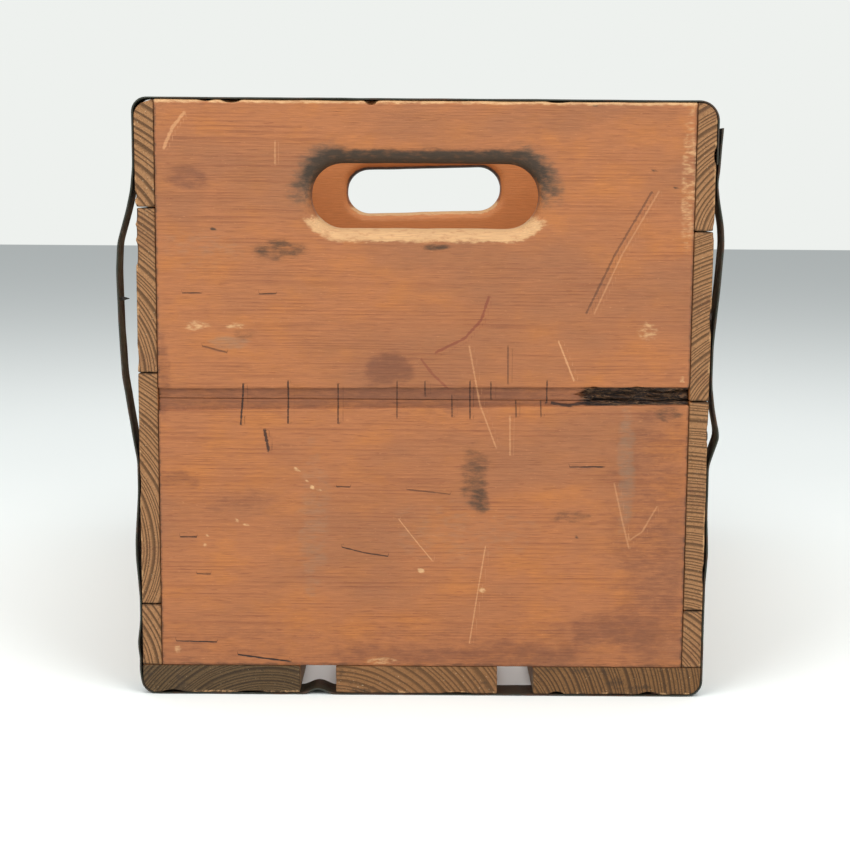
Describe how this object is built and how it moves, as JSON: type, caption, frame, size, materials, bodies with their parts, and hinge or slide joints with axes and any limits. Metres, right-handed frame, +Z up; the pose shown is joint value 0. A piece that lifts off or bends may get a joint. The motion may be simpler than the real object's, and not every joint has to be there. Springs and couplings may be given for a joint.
{
  "type": "wooden crate",
  "caption": "Old open-topped wooden bottle crate with board sides, slatted bottom, rounded hand holes in both ends and a nailed steel strap round each end.",
  "frame": {"origin": "middle of the footprint, on the floor under the two straps", "axes": "+Z up; Y along the crate, with the pictured end at -Y; +X to the right of someone who faces that end"},
  "size_m": [0.336, 0.476, 0.3308],
  "materials": {
    "end_board": "old handled pine, worn smooth",
    "side_board": "weathered sawn pine",
    "bottom_slat": "dirty sawn pine",
    "strap_steel": "dark oxidised steel",
    "nail_steel": "rusted steel"
  },
  "bodies": {
    "root": {"front_end_upper_board": "end_board", "front_end_lower_board": "end_board", "rear_end_upper_board": "end_board", "rear_end_lower_board": "end_board", "left_side_foot_board": "side_board", "left_side_lower_board": "side_board", "left_side_upper_board": "side_board", "left_side_top_board": "side_board", "right_side_foot_board": "side_board", "right_side_lower_board": "side_board", "right_side_upper_board": "side_board", "right_side_top_board": "side_board", "left_bottom_slat": "bottom_slat", "middle_bottom_slat": "bottom_slat", "right_bottom_slat": "bottom_slat", "front_strap": "strap_steel", "rear_strap": "strap_steel", "front_left_side_nails": "nail_steel", "front_right_side_nails": "nail_steel", "rear_left_side_nails": "nail_steel", "rear_right_side_nails": "nail_steel", "front_bottom_nails": "nail_steel", "rear_bottom_nails": "nail_steel", "front_strap_nails": "nail_steel", "rear_strap_nails": "nail_steel"}
  },
  "joints": []
}
